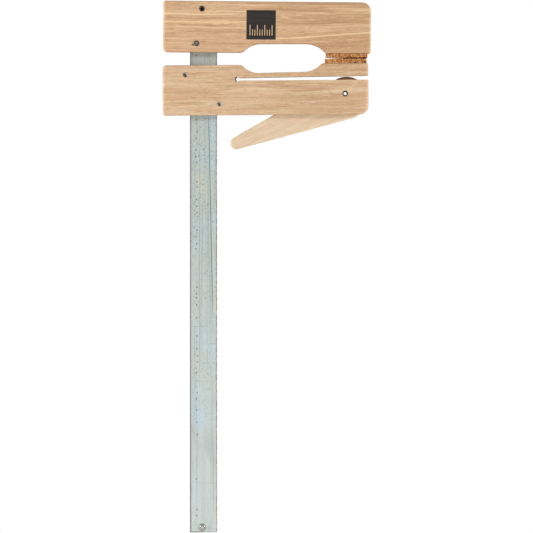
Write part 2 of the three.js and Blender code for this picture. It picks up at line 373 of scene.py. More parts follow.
def smooth(obj, angle=32):
    for polygon in obj.data.polygons:
        polygon.use_smooth = True
    obj.data.set_sharp_from_angle(angle=math.radians(angle))
    modifier = obj.modifiers.new("faces keep flat", "WEIGHTED_NORMAL")
    modifier.keep_sharp = True
    modifier.weight = 100


def settle(obj, layout):
    obj.data.transform(layout.matrix())
    obj.data.update()


# ---------------------------------------------------------------- materials
def srgb(r, g, b):
    def linear(v):
        v /= 255
        return v / 12.92 if v <= 0.04045 else ((v + 0.055) / 1.055) ** 2.4
    return (linear(r), linear(g), linear(b), 1)


class Shader:
    """Short ways to build one material's nodes."""

    def __init__(self, name):
        self.material = bpy.data.materials.new(name)
        self.material.use_nodes = True
        self.tree = self.material.node_tree
        self.tree.nodes.clear()
        self.surface = self.add("ShaderNodeBsdfPrincipled")
        output = self.add("ShaderNodeOutputMaterial")
        self.tree.links.new(self.surface.outputs[0], output.inputs["Surface"])

    def add(self, kind, **settings):
        node = self.tree.nodes.new(kind)
        for key, value in settings.items():
            setattr(node, key, value)
        return node

    def feed(self, socket, value):
        if isinstance(value, bpy.types.NodeSocket):
            self.tree.links.new(value, socket)
        else:
            socket.default_value = value

    def maths(self, operation, *values):
        node = self.add("ShaderNodeMath", operation=operation)
        for socket, value in zip(node.inputs, values):
            self.feed(socket, value)
        return node.outputs[0]

    def product(self, first, *others):
        for other in others:
            first = self.maths("MULTIPLY", first, other)
        return first

    def distance(self, across, up):
        squares = self.maths("ADD", self.product(across, across), self.product(up, up))
        return self.maths("SQRT", squares)

    def away_from(self, centre, x, z):
        return self.distance(self.maths("SUBTRACT", x, centre[0]), self.maths("SUBTRACT", z, centre[1]))

    def ramp(self, value, low, high, out_low=0.0, out_high=1.0):
        node = self.add("ShaderNodeMapRange", interpolation_type="SMOOTHSTEP")
        for name, given in (("Value", value), ("From Min", low), ("From Max", high),
                            ("To Min", out_low), ("To Max", out_high)):
            self.feed(node.inputs[name], given)
        return node.outputs[0]

    def mix(self, factor, a, b):
        node = self.add("ShaderNodeMix", data_type="RGBA")
        self.feed(node.inputs[0], factor)
        self.feed(node.inputs[6], a)
        self.feed(node.inputs[7], b)
        return node.outputs[2]

    def place(self, attribute):
        node = self.add("ShaderNodeAttribute", attribute_name=attribute)
        return node.outputs["Vector"]

    def object_place(self):
        return self.add("ShaderNodeTexCoord").outputs["Object"]

    def split(self, vector):
        node = self.add("ShaderNodeSeparateXYZ")
        self.feed(node.inputs[0], vector)
        return node.outputs[0], node.outputs[1], node.outputs[2]

    def join(self, x, y, z):
        node = self.add("ShaderNodeCombineXYZ")
        for socket, value in zip(node.inputs, (x, y, z)):
            self.feed(socket, value)
        return node.outputs[0]

    def noise(self, vector, detail=3.0, roughness=0.55):
        node = self.add("ShaderNodeTexNoise")
        self.feed(node.inputs["Vector"], vector)
        node.inputs["Scale"].default_value = 1.0
        node.inputs["Detail"].default_value = detail
        node.inputs["Roughness"].default_value = roughness
        return node.outputs["Fac"]

    def stretched(self, x, y, z, per_x, per_y, per_z, seed=0.0, **kind):
        scaled = self.join(self.maths("MULTIPLY_ADD", x, per_x, seed), self.maths("MULTIPLY", y, per_y),
                           self.maths("MULTIPLY", z, per_z))
        return self.noise(scaled, **kind)

    def bump(self, height, distance, strength):
        node = self.add("ShaderNodeBump")
        node.inputs["Strength"].default_value = strength
        node.inputs["Distance"].default_value = distance
        self.feed(node.inputs["Height"], height)
        return node.outputs[0]

    def set(self, **sockets):
        for name, value in sockets.items():
            self.feed(self.surface.inputs[name.replace("_", " ")], value)


def streak_mask(s, x, z, wander, streaks, fade=9):
    """Soft long streaks: each is (height mm, slope, half width mm, from mm, to mm, strength)."""
    total = 0.0
    for height, slope, half, start, end, strength in streaks:
        line = s.maths("MULTIPLY_ADD", x, slope, height * MM)
        distance = s.maths("ABSOLUTE", s.maths("SUBTRACT", s.maths("ADD", z, wander), line))
        core = s.ramp(distance, 0.15 * half * MM, half * MM, 1.0, 0.0)
        head = s.ramp(x, (start - fade) * MM, (start + fade) * MM)
        tail = s.ramp(x, (end - fade) * MM, (end + fade) * MM, strength, 0.0)
        total = s.maths("ADD", total, s.product(core, head, tail))
    return s.maths("MINIMUM", total, 1.0)


# The pin-hole ring tone: painted shade at the holes' rims, partly real marking of the wood.
STAIN_AND_SHADE = srgb(82, 56, 38)
# The cam's upper-rim tone: painted shade where the cam sits in the kerf.
CAM_SLOT_SHADE_TONE = srgb(178, 122, 80)
INK = (srgb(30, 25, 22), srgb(50, 43, 38))
PRINT_SOFTNESS = 0.06 * MM
CHIP = (-7.9 * MM, 5.6 * MM)  # where the wood has torn beside the fixed jaw's lower pin
# Grain layers: cycles per metre along x, y, z; noise thresholds; strength; tone.
GRAIN = (
    ((10, 60, 190), 0.42, 0.62, 0.50, "light"),
    ((15, 90, 210), 0.50, 0.68, 0.40, "rosy"),
    ((17, 120, 420), 0.50, 0.30, 0.34, "deep"),
    ((15, 110, 380), 0.53, 0.72, 0.50, "pale"),
    ((38, 260, 800), 0.48, 0.30, 0.50, "rosy"),
    ((27, 260, 820), 0.55, 0.74, 0.60, "pale"),
    ((75, 420, 900), 0.56, 0.74, 0.62, "deep"),
    ((95, 420, 950), 0.58, 0.76, 0.60, "pale"),
    ((180, 700, 1300), 0.52, 0.72, 0.55, "rosy"),
    ((210, 900, 1500), 0.55, 0.75, 0.50, "deep"),
    ((330, 900, 1500), 0.55, 0.75, 0.45, "pale"),
)


def wood(name, tones, seed, slope=0.0, pale=(), dark=(), contrast=1.0, patch=None, rim=None):
    """Long straight grain along x. tones holds the wood's colours, and far is the colour at its tip."""
    s = Shader(name)
    x, y, z = s.split(s.place("grain_place"))
    drift = s.stretched(x, y, z, 14, 20, 30, seed, detail=2.0)
    ripple = s.stretched(x, y, z, 60, 40, 110, seed + 1, detail=2.0)
    wander = s.maths("MULTIPLY", s.maths("SUBTRACT", drift, 0.5), 4.2 * MM)
    wander = s.maths("ADD", wander, s.maths("MULTIPLY", s.maths("SUBTRACT", ripple, 0.5), 1.3 * MM))
    tilted = s.maths("MULTIPLY_ADD", x, -slope, s.maths("ADD", z, wander))
    colour = s.mix(s.ramp(x, 10 * MM, 95 * MM), tones["middle"], tones["far"])
    for i, (scales, low, high, strength, tone) in enumerate(GRAIN):
        value = s.stretched(x, y, tilted, *scales, seed + 3.7 * i, detail=2.5, roughness=0.6)
        share = s.maths("MULTIPLY", s.ramp(value, low, high), strength * contrast)
        colour = s.mix(share, colour, tones[tone])
    for streaks, tone in ((pale, "pale"), (dark, "deep")):
        if streaks:
            mask = streak_mask(s, x, z, s.maths("MULTIPLY", wander, 0.5), streaks, 6)
            colour = s.mix(mask, colour, tones[tone])
    fibres = s.stretched(x, y, tilted, 60, 700, 1500, seed + 11, detail=3.0)
    flecks = s.stretched(x, y, tilted, 230, 900, 2600, seed + 17, detail=1.0)
    # Painted shade round each pin hole, partly real marking of the wood.
    colour = s.mix(pin_stain_and_shade(s, x, z, name), colour, STAIN_AND_SHADE)
    # rim puts painted shade on the cam's upper rim, where it sits in the kerf.
    if rim:
        colour = s.mix(cam_slot_shade(s, x, z, *rim), colour, CAM_SLOT_SHADE_TONE)
    height = s.maths("ADD", s.maths("MULTIPLY", fibres, 0.6), s.maths("MULTIPLY", flecks, -0.35))
    if patch:
        ink, ticks = patch_masks(s, x, y, z, patch)
        printed = s.mix(s.ramp(fibres, 0.3, 0.7), *INK)
        bare = s.mix(0.4, colour, tones["pale"])
        colour = s.mix(ink, colour, s.mix(ticks, printed, bare))
    roughness = s.ramp(fibres, 0.3, 0.7, 0.68, 0.54)
    s.set(Base_Color=colour, Roughness=roughness, Normal=s.bump(height, 0.08 * MM, 0.8))
    s.surface.inputs["Specular IOR Level"].default_value = 0.3
    return s.material


def cam_slot_shade(s, x, z, centre_x, centre_z, radius):
    """Painted shade on the cam's rim: its upper half, which sits in the kerf under the tongue, is painted a
    darker brown.
    """
    distance = s.away_from((centre_x, centre_z), x, z)
    inner = s.ramp(distance, radius - 2.5 * MM, radius - 0.8 * MM, 0.0, 0.8)
    outer = s.ramp(distance, radius + 0.1 * MM, radius + 0.8 * MM, 1.0, 0.0)
    return s.product(inner, outer, s.ramp(z, centre_z, centre_z + 8 * MM))


def pin_stain_and_shade(s, x, z, name):
    """A soft dark ring round each pin's hole, painted shade at the hole's rim and partly real marking of the
    wood, and the chip beside the lowest one.
    """
    names = FIXED_PINS if "fixed" in name else SLIDING_PINS if "sliding" in name else ()
    total = 0.0
    for pin in names:
        radius = PINS[pin]["radius"] * MM
        spread = 0.9 * MM if "coil" in PINS[pin] else 0.4 * MM
        distance = s.away_from(pin_place(pin), x, z)
        ring = s.ramp(distance, radius + 0.05 * MM, radius + spread, 0.5, 0.0)
        total = s.maths("MAXIMUM", ring, total)
    if "fixed" in name:
        chip = s.ramp(s.away_from(CHIP, x, z), 0.5 * MM, 1.15 * MM, 0.9, 0.0)
        total = s.maths("MAXIMUM", total, chip)
    return total


def inside(s, value, low, high, soft=PRINT_SOFTNESS):
    entered = s.ramp(value, low - soft, low + soft)
    return s.product(entered, s.ramp(value, high - soft, high + soft, 1.0, 0.0))


def patch_masks(s, x, y, z, patch):
    """A dark printed square on the front face, with a short rule of ticks left bare."""
    left, bottom, side = patch
    front = s.ramp(y, -JAW_THICKNESS * 0.45, -JAW_THICKNESS * 0.4, 1.0, 0.0)
    square = s.product(inside(s, x, left, left + side), inside(s, z, bottom, bottom + side))
    pitch = side / 12
    ticks_bottom = bottom + 0.14 * side
    phase = s.maths("FRACT", s.maths("DIVIDE", s.maths("SUBTRACT", x, left), pitch))
    lines = inside(s, phase, 0.36, 0.64, 0.05)
    long_phase = s.maths("FRACT", s.maths("DIVIDE", s.maths("SUBTRACT", x, left), pitch * 3))
    long_line = inside(s, long_phase, 1 / 3, 2 / 3, 0.02)
    reach = s.maths("MULTIPLY_ADD", long_line, 0.16 * side, bottom + 0.34 * side)
    tall = s.ramp(s.maths("SUBTRACT", z, reach), -PRINT_SOFTNESS, PRINT_SOFTNESS, 1.0, 0.0)
    foot = s.ramp(z, ticks_bottom - PRINT_SOFTNESS, ticks_bottom + PRINT_SOFTNESS)
    span = inside(s, x, left + pitch, left + side - pitch)
    return s.product(front, square), s.product(lines, tall, foot, span)


CORK_TONES = {
    "low": srgb(184, 112, 56),
    "high": srgb(240, 180, 118),
    "between": srgb(92, 50, 26),
    "speck": srgb(58, 30, 18),
    # Painted shade in the gap between the pads, and a little wear on the free face.
    "gap_shade_and_wear": srgb(34, 14, 7),
}
CORK_GRAINS_PER_METRE = 800
CORK_SPECKS_PER_METRE = 1100


def cork_material():
    s = Shader("pressed_cork")
    place = s.place("cork_place")
    shade_and_wear_weight = s.add("ShaderNodeAttribute", attribute_name="shade_and_wear_weight").outputs["Fac"]
    cells = s.add("ShaderNodeTexVoronoi", feature="F1")
    edges = s.add("ShaderNodeTexVoronoi", feature="DISTANCE_TO_EDGE")
    specks = s.add("ShaderNodeTexNoise")
    for node, scale in ((cells, CORK_GRAINS_PER_METRE), (edges, CORK_GRAINS_PER_METRE),
                        (specks, CORK_SPECKS_PER_METRE)):
        s.feed(node.inputs["Vector"], place)
        node.inputs["Scale"].default_value = scale
    grain_tone = s.split(cells.outputs["Color"])[0]
    colour = s.mix(grain_tone, CORK_TONES["low"], CORK_TONES["high"])
    colour = s.mix(s.ramp(edges.outputs["Distance"], 0.0, 0.1, 0.75, 0.0), colour, CORK_TONES["between"])
    colour = s.mix(s.ramp(specks.outputs["Fac"], 0.56, 0.66, 0.0, 0.9), colour, CORK_TONES["speck"])
    # Painted shade in the gap between the two pads, patchy, and a little wear on the free face.
    gap_shade_and_wear = s.ramp(s.maths("MULTIPLY_ADD", specks.outputs["Fac"], 0.9, shade_and_wear_weight), 0.66, 0.95)
    gap_shade_and_wear = s.maths("MULTIPLY", gap_shade_and_wear, s.ramp(shade_and_wear_weight, 0.02, 0.2))
    colour = s.mix(gap_shade_and_wear, colour, CORK_TONES["gap_shade_and_wear"])
    height = s.maths("ADD", grain_tone, s.ramp(edges.outputs["Distance"], 0.0, 0.15))
    roughness = s.ramp(grain_tone, 0, 1, 0.85, 0.97)
    s.set(Base_Color=colour, Roughness=roughness, Normal=s.bump(height, 0.2 * MM, 0.9))
    s.surface.inputs["Specular IOR Level"].default_value = 0.2
    return s.material


RAIL_TONES = {
    # top and foot: painted light and shade, the bar darker at its top and lighter at its foot.
    "top": srgb(179, 189, 182),
    "foot": srgb(184, 192, 189),
    "blue": srgb(182, 200, 210),
    "warm": srgb(198, 197, 178),
    "line": srgb(140, 148, 146),
    "speck": srgb(118, 134, 140),
    "edge": srgb(104, 102, 94),
    "mark": srgb(84, 92, 96),
}
STUD_TONES = (srgb(150, 148, 146), srgb(192, 190, 188))
# Drawn lines seen on the bar: (x at the foot, slope, half width mm, from mm, to mm, strength).
RAIL_LINES = (
    (10.4, -0.0215, 0.42, 165, 306, 1.0),
    (-3.4, 0.002, 0.25, 120, 290, 0.35),
    (5.6, 0.0, 0.3, 150, 240, 0.35),
    (1.6, 0.0, 0.25, 190, 306, 0.3),
    (-6.6, 0.0, 0.3, 60, 150, 0.3),
    (-4.9, 0.0, 0.28, 30, 120, 0.4),
    (7.3, 0.0, 0.25, 12, 60, 0.3),
)
# Faint scratches across it: (height mm, slope, half width mm, from x mm, to x mm, strength).
RAIL_SCRATCHES = (
    (111.5, 0.05, 0.3, -6, 9, 0.3),
    (152.0, 0.0, 0.3, -9, 2, 0.4),
    (241.5, 0.03, 0.28, -5, 8, 0.3),
    (36.5, -0.02, 0.28, -8, 9, 0.3),
    (88.0, 0.0, 0.25, 0, 9, 0.25),
)


def zinc_material(name, bar):
    s = Shader(name)
    x, y, z = s.split(s.object_place())
    x = s.maths("SUBTRACT", x, RAIL_X)
    z = s.maths("SUBTRACT", z, rail_low.z)
    cloud = s.stretched(x, y, z, 90, 90, 22, 2, detail=4.0, roughness=0.65)
    tint = s.stretched(x, y, z, 60, 60, 30, 21, detail=2.0)
    specks = s.stretched(x, y, z, 900, 900, 620, 31, detail=2.0)
    drawn = s.stretched(x, y, z, 1100, 1100, 7, 5, detail=3.0)
    wide = s.stretched(x, y, z, 420, 420, 3, 9, detail=2.0)
    # Painted light and shade: the bar darker at its top and lighter towards its foot, to make up for the
    # lamps' light falling off there.
    colour = s.mix(s.ramp(z, 0.0, rail_high.z - rail_low.z, 1.0, 0.0), RAIL_TONES["top"], RAIL_TONES["foot"])
    colour = s.mix(s.ramp(tint, 0.5, 0.7, 0.0, 0.6), colour, RAIL_TONES["blue"])
    colour = s.mix(s.ramp(tint, 0.46, 0.3, 0.0, 0.55), colour, RAIL_TONES["warm"])
    colour = s.mix(s.ramp(cloud, 0.5, 0.3, 0.0, 0.35), colour, RAIL_TONES["line"])
    if bar:
        upper = s.ramp(z, 30 * MM, 230 * MM, 0.3, 1.0)
        for lines in (s.ramp(drawn, 0.48, 0.3, 0.0, 0.5), s.ramp(wide, 0.44, 0.3, 0.0, 0.3)):
            colour = s.mix(s.product(lines, upper), colour, RAIL_TONES["line"])
        strewn = s.product(s.ramp(specks, 0.52, 0.7, 0.0, 0.8), s.ramp(cloud, 0.4, 0.62, 0.25, 1.0), upper)
        colour = s.mix(strewn, colour, RAIL_TONES["speck"])
        # Painted shadow round the end stop's head.
        colour = s.mix(stop_shadow_ring(s, x, z), colour, RAIL_TONES["edge"])
        wander = s.maths("MULTIPLY", s.maths("SUBTRACT", cloud, 0.5), 0.5 * MM)
        colour = s.mix(streak_mask(s, z, x, wander, RAIL_LINES), colour, RAIL_TONES["edge"])
        colour = s.mix(streak_mask(s, x, z, wander, RAIL_SCRATCHES, 2), colour, RAIL_TONES["edge"])
        colour = s.mix(dimples(s, x, z), colour, RAIL_TONES["mark"])
        # left and right: painted shade along the bar's rounded long edges, on its front and back faces.
        # foot: a dark line along the bar's lower end, darker to the left.
        flat = s.ramp(s.maths("ABSOLUTE", y), 1.7 * MM, 2.1 * MM)
        left = s.product(s.ramp(x, -8.9 * MM, -9.4 * MM), s.ramp(specks, 0.3, 0.6, 0.85, 1.0), flat)
        right = s.product(s.ramp(x, 9.1 * MM, 9.5 * MM), s.ramp(specks, 0.35, 0.6, 0.25, 0.95), flat)
        foot = s.product(s.ramp(z, 0.9 * MM, 0.5 * MM), s.ramp(x, 2 * MM, -2 * MM, 0.1, 0.9))
        for mask in (left, right, foot):
            colour = s.mix(mask, colour, RAIL_TONES["edge"])
    relief = s.maths("ADD", s.maths("ADD", drawn, cloud), s.maths("MULTIPLY", specks, 0.5))
    if bar:
        roughness = s.ramp(drawn, 0.3, 0.7, 0.55, 0.38)
    else:
        colour = s.mix(s.ramp(cloud, 0.3, 0.7), STUD_TONES[0], STUD_TONES[1])
        roughness = s.ramp(cloud, 0.3, 0.7, 0.3, 0.2)
    s.set(Base_Color=colour, Roughness=roughness, Normal=s.bump(relief, 0.03 * MM, 0.6))
    s.surface.inputs["Metallic"].default_value = 0.4 if bar else 1.0
    return s.material


def stop_shadow_ring(s, x, z):
    """Painted shadow round the end stop's head, where it sits in the bar's hole."""
    low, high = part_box("end_stop")
    centre, radius = (low + high) / 2, (high.x - low.x) / 2
    distance = s.away_from((centre.x - RAIL_X, centre.z - rail_low.z), x, z)
    return s.ramp(distance, radius, radius + 0.9 * MM, 0.75, 0.0)


def dimples(s, x, z):
    """A column of small rolling marks along the bar's left, wandering a little and missing in places."""
    pitch = 4.6 * MM
    row = s.maths("FLOOR", s.maths("DIVIDE", z, pitch))
    jitter = s.add("ShaderNodeTexWhiteNoise", noise_dimensions="1D")
    s.feed(jitter.inputs["W"], row)
    red, green, blue = s.split(jitter.outputs["Color"])
    centre_z = s.maths("MULTIPLY", s.maths("ADD", row, s.maths("MULTIPLY_ADD", red, 0.5, 0.25)), pitch)
    centre_x = s.maths("MULTIPLY_ADD", green, 1.3 * MM, -5.7 * MM)
    up = s.maths("MULTIPLY", s.maths("SUBTRACT", z, centre_z), 0.75)
    spot = s.ramp(s.distance(s.maths("SUBTRACT", x, centre_x), up), 0.1 * MM, 0.8 * MM, 0.95, 0.0)
    kept = s.ramp(s.maths("ADD", blue, s.ramp(z, 40 * MM, 200 * MM, -0.25, 0.2)), 0.3, 0.6)
    return s.maths("MULTIPLY", spot, kept)


def pin_material(name, low, high):
    s = Shader(name)
    x, y, z = s.split(s.object_place())
    rings = s.stretched(x, y, z, 700, 2600, 700, 1, detail=3.0)
    colour = s.mix(s.ramp(rings, 0.3, 0.7), low, high)
    roughness = s.ramp(rings, 0.3, 0.7, 0.5, 0.7)
    s.set(Base_Color=colour, Roughness=roughness, Normal=s.bump(rings, 0.02 * MM, 0.5))
    s.surface.inputs["Metallic"].default_value = 0.5
    return s.material


# Streaks seen on each board: (height mm, slope, half width mm, from mm, to mm, strength).
FIXED_PALE = (
    (28.3, 0.005, 0.75, -32, 24, 0.9),
    (30.0, 0.015, 0.6, 0, 34, 0.7),
    (22.6, 0.01, 0.65, -32, 36, 0.85),
    (18.8, -0.01, 0.5, -24, 30, 0.6),
    (10.8, 0.02, 0.5, -30, 8, 0.45),
    (7.0, 0.0, 0.5, -31, -8, 0.55),
    (6.8, 0.07, 0.75, 52, 126, 0.95),
    (9.2, 0.08, 0.5, 66, 96, 0.5),
    (15.7, 0.06, 0.5, 92, 124, 0.5),
    (29.8, 0.0, 0.6, 74, 92, 0.6),
    (33.2, 0.0, 0.5, 90, 126, 0.5),
)
FIXED_DARK = (
    (25.4, 0.01, 0.7, -30, 40, 0.55),
    (20.6, 0.0, 0.5, -28, 20, 0.4),
    (15.6, 0.0, 0.7, -20, 34, 0.4),
    (6.0, 0.02, 0.6, 0, 30, 0.3),
    (33.0, -0.02, 1.2, 40, 120, 0.4),
    (19.5, 0.03, 0.9, 60, 122, 0.45),
    (36.4, 0.0, 0.8, 30, 118, 0.35),
)
SLIDING_DARK = (
    (33.2, 0.03, 0.6, 4, 20, 0.6),
    (27.4, 0.02, 0.5, -10, 8, 0.4),
    (24.0, 0.03, 0.55, 0, 16, 0.6),
    (21.8, 0.0, 0.6, 20, 70, 0.3),
    (19.2, 0.0, 0.55, 76, 94, 0.6),
    (19.0, 0.01, 0.5, 108, 118, 0.5),
    (13.0, -0.01, 0.5, 10, 70, 0.3),
    (8.5, 0.0, 0.5, 60, 110, 0.3),
    (32.0, 0.0, 0.5, 92, 120, 0.4),
    (16.2, 0.02, 0.5, 62, 90, 0.55),
    (11.4, 0.0, 0.45, 74, 100, 0.5),
    (22.6, 0.0, 0.5, 84, 104, 0.5),
    (6.2, 0.01, 0.45, 84, 114, 0.4),
)
FIXED_TONES = {
    "middle": srgb(213, 174, 136), "light": srgb(220, 184, 147), "far": srgb(195, 154, 114),
    "deep": srgb(170, 124, 84), "pale": srgb(240, 209, 160), "rosy": srgb(196, 150, 114),
}
SLIDING_TONES = {
    "middle": srgb(214, 180, 144), "light": srgb(220, 189, 156), "far": srgb(199, 161, 124),
    "deep": srgb(176, 134, 94), "pale": srgb(232, 205, 170), "rosy": srgb(205, 160, 122),
}
LEVER_TONES = {
    "middle": srgb(221, 197, 165), "light": srgb(228, 206, 178), "far": srgb(223, 199, 168),
    "deep": srgb(194, 158, 120), "pale": srgb(242, 227, 206), "rosy": srgb(216, 184, 148),
}

PATCH = (31.5 * MM, 9.8 * MM, 21.7 * MM)  # the printed square's left, bottom and side
fixed_wood = wood("jaw_wood_fixed", FIXED_TONES, seed=3.0, slope=0.012, pale=FIXED_PALE, dark=FIXED_DARK,
                  contrast=1.05, patch=PATCH)
sliding_wood = wood("jaw_wood_sliding", SLIDING_TONES, seed=41.0, slope=0.006, dark=SLIDING_DARK,
                    contrast=1.3)
# The cam's middle, for the painted shade on its upper rim in the kerf.
cam_middle = turned(lever_geometry()[0], LEVER["droop"])
lever_wood = wood("lever_wood", LEVER_TONES, seed=77.0, contrast=0.8, rim=(*cam_middle, CAM["radius"]))
cork = cork_material()
zinc = zinc_material("zinc_rail", True)
stud_zinc = zinc_material("zinc_stud", False)
pin_steel = pin_material("pin_steel", srgb(58, 48, 41), srgb(108, 97, 84))
coil_steel = pin_material("coil_steel", srgb(100, 90, 74), srgb(150, 138, 116))
core_steel = pin_material("core_steel", srgb(104, 108, 110), srgb(146, 150, 152))


# ---------------------------------------------------------------- pieces
def finish_piece(obj, material, body, nodes):
    obj.data.materials.clear()
    obj.data.materials.append(material)
    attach(obj, body)
    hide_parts(*nodes)


def pin_holes(names):
    radii = {name: (PINS[name]["radius"] + PIN_HOLE_EASE) * MM for name in names}
    return [hole_cutter(pin_place(name), radii[name], WOOD_THICKNESS) for name in names]


def rail_slot_cutter(jaw):
    outline = rectangle(jaw["rear"] - OVERRUN, jaw["slot_front"], -OVERRUN, jaw["height"] + OVERRUN)
    return prism(outline, RAIL_SLOT_WIDTH)


def make_fixed_jaw():
    board = round_plate("fixed_jaw_board", jaw_outline(FIXED_JAW, False), WOOD_THICKNESS, EDGE_ROUND)
    cut(board, rail_slot_cutter(FIXED_JAW), *pin_holes(FIXED_PINS))
    remember(board, "grain_place")
    settle(board, fixed_layout)
    smooth(board)
    finish_piece(board, fixed_wood, "fixed_arm", ["fixed_jaw"])


def sliding_blank(name):
    return round_plate(name, jaw_outline(SLIDING_JAW, True), WOOD_THICKNESS, EDGE_ROUND)


def make_sliding_jaw():
    front, height = SLIDING_JAW["front"] + OVERRUN, SLIDING_JAW["height"] + OVERRUN
    board = sliding_blank("sliding_jaw_board")
    above = [(KERF["end"], KERF["floor"]), (front, KERF["floor"]), (front, height),
             (TONGUE_SEAM, height), (TONGUE_SEAM, KERF["roof"]), (KERF["end"], KERF["roof"])]
    cut(board, prism(above, 2 * JAW_THICKNESS), rail_slot_cutter(SLIDING_JAW), lever_slot_cutter(),
        cam_relief_cutter(), *pin_holes(SLIDING_PINS))
    remember(board, "grain_place")
    settle(board, sliding_layout)
    smooth(board)
    finish_piece(board, sliding_wood, "sliding_jaw", ["sliding_jaw"])


def lever_slot_cutter():
    cam_centre, tip_centre, high, _ = lever_geometry()
    normal = (math.cos(high), math.sin(high))
    out_cam, out_tip = CAM["radius"] + LEVER_SLOT["clearance"], LEVER["tip"] + LEVER_SLOT["clearance"]
    upper = (cam_centre[0] + normal[0] * out_cam, cam_centre[1] + normal[1] * out_cam)
    lower = (tip_centre[0] + normal[0] * out_tip, tip_centre[1] + normal[1] * out_tip)

    def ramp_x(z):
        return lower[0] + (upper[0] - lower[0]) * (z - lower[1]) / (upper[1] - lower[1])

    front = SLIDING_JAW["front"] + OVERRUN
    points = [(ramp_x(-OVERRUN), -OVERRUN), (front, -OVERRUN), (front, KERF["roof"]),
              (ramp_x(KERF["roof"]), KERF["roof"])]
    return prism(points, LEVER_SLOT["width"])


def cam_relief_cutter():
    """At the end of its swing the cam bulges past the slot's ramp, so the slot is relieved there."""
    centre = turned(lever_geometry()[0], -LEVER["swing"])
    return prism(circle(centre, CAM["radius"] + LEVER_SLOT["clearance"], 64), LEVER_SLOT["width"])


def make_tongue():
    front, height = SLIDING_JAW["front"] + OVERRUN, SLIDING_JAW["height"] + OVERRUN
    tongue = sliding_blank("spring_tongue_wood")
    cut(tongue, prism(rectangle(TONGUE_SEAM, front, KERF["roof"], height), 2 * JAW_THICKNESS),
        operation="INTERSECT")
    slice_along(tongue, TONGUE_SEAM, SLIDING_JAW["front"], 3 * MM)
    remember(tongue, "grain_place")
    spring_up(tongue)
    settle(tongue, sliding_layout)
    smooth(tongue)
    tongue.data.materials.clear()
    tongue.data.materials.append(sliding_wood)
    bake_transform(tongue)
    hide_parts("spring_tongue")


def slice_along(obj, start, end, step):
    bm = bmesh.new()
    bm.from_mesh(obj.data)
    x = start + step
    while x < end - step / 2:
        geometry = bm.verts[:] + bm.edges[:] + bm.faces[:]
        bmesh.ops.bisect_plane(bm, geom=geometry, plane_co=(x, 0, 0), plane_no=(1, 0, 0), dist=0.002 * MM)
        x += step
    bm.to_mesh(obj.data)
    bm.free()


def spring_up(obj):
    """The tongue's set: it bends up about the kerf's end, smoothly from the seam."""
    for vertex in obj.data.vertices:
        share = min(1.0, max(0.0, (vertex.co.x - TONGUE_SEAM) / (TONGUE_BEND_END - TONGUE_SEAM)))
        turn = TONGUE_SET * share * share * (3 - 2 * share)
        run, rise = vertex.co.x - kerf_local.x, vertex.co.z - kerf_local.y
        vertex.co.x = kerf_local.x + run * math.cos(turn) - rise * math.sin(turn)
        vertex.co.z = kerf_local.y + run * math.sin(turn) + rise * math.cos(turn)


def make_lever():
    lever = round_plate("cam_lever_wood", lever_outline, LEVER["thickness"], LEVER["edge"])
    cut(lever, hole_cutter(tuple(cam_local), LEVER["hole"], LEVER["thickness"], 0.1 * MM))
    remember(lever, "grain_place", lambda co: turned((co.x, co.z), LEVER["droop"]))
    settle(lever, sliding_layout)
    smooth(lever)
    finish_piece(lever, lever_wood, "lever", ["cam_lever"])


def pin_core(name, radius_mm, sides, length, edge, steps):
    """A plug inside a pin, which stops light."""
    return round_plate(name + "_core", lambda inset: circle((0, 0), radius_mm * MM - inset, sides),
                       length, edge, steps)


def make_pin(name, layout, body):
    pin = PINS[name]
    length = JAW_THICKNESS - 2 * pin["recess"] * MM
    if "coil" in pin:
        strip = round_plate(name + "_strip", coiled_outline(pin), length, 0.09 * MM, 2)
        inner = pin["radius"] - COIL["core_inset"]
        core = pin_core(name, inner, 24, length - COIL["core_shorter"], 0.04 * MM, 2)
        pieces = [(strip, coil_steel), (core, coil_steel)]
    else:
        tube = round_plate(name + "_tube", rolled_outline(pin), length, 0.2 * MM, 3)
        pieces = [(tube, pin_steel)]
    if "core" in pin:
        bore = pin["radius"] - pin["wall"] - CORE_GAP
        core = pin_core(name, bore, 32, length - 2 * pin["core"] * MM, 0.25 * MM, 3)
        pieces.append((core, core_steel if pin["core"] < 1 else pin_steel))
    at = pin_place(name)
    for piece, material in pieces:
        piece.data.transform(Matrix.Translation((at[0], 0, at[1])))
        settle(piece, layout)
        smooth(piece, 40)
        finish_piece(piece, material, body, [name])


